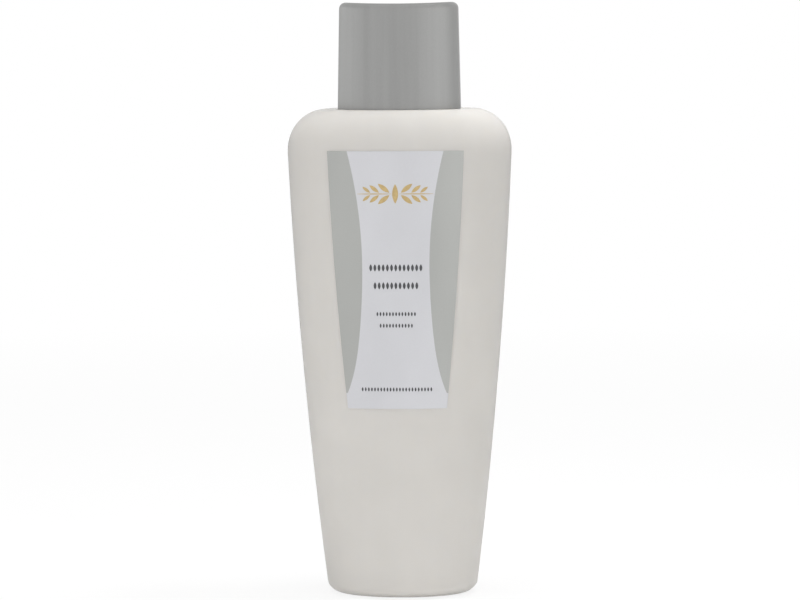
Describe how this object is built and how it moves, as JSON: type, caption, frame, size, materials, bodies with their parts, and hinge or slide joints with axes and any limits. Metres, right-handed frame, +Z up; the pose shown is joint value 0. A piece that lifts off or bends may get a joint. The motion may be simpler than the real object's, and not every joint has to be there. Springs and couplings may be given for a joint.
{
  "type": "nail polish remover bottle",
  "caption": "Tapered oval bottle in milky translucent plastic with a front label, a pouring plug in the neck and a satin silver screw cap.",
  "frame": {"origin": "middle of the base, on the surface that the bottle stands on", "axes": "+Z up along the neck and cap axis, +X across the wide side, -Y out of the labelled front"},
  "size_m": [0.0544, 0.0356, 0.1437],
  "materials": {
    "frosted_plastic": "milky translucent, satin moulded surface",
    "soft_plastic": "natural translucent, smooth",
    "label_film": "pale silvery film with grey side bands, semi-gloss",
    "silver_plastic": "satin silver-grey, faint upright streaks",
    "white_plastic": "moulded satin",
    "seal_foam": "fine closed-cell foam"
  },
  "bodies": {
    "bottle": {"bottle_body": "frosted_plastic", "orifice_reducer": "soft_plastic", "front_label": "label_film"},
    "seal": {"seal_liner": "seal_foam"},
    "cap": {"cap_shell": "silver_plastic", "cap_insert": "white_plastic"}
  },
  "joints": [
    {"name": "cap_rise", "type": "slide", "parent": "bottle", "child": "seal", "axis": [0, 0, 1], "range_m": [0, 0.0191]},
    {"name": "cap_turn", "type": "hinge", "parent": "seal", "child": "cap", "pos_m": [0, 0, 0.1303], "axis": [0, 0, 1], "range_deg": [0, 1080]}
  ],
  "couplings": [
    {"joint": "cap_rise", "follows": "cap_turn", "m_per_rad": 0.0010106}
  ]
}
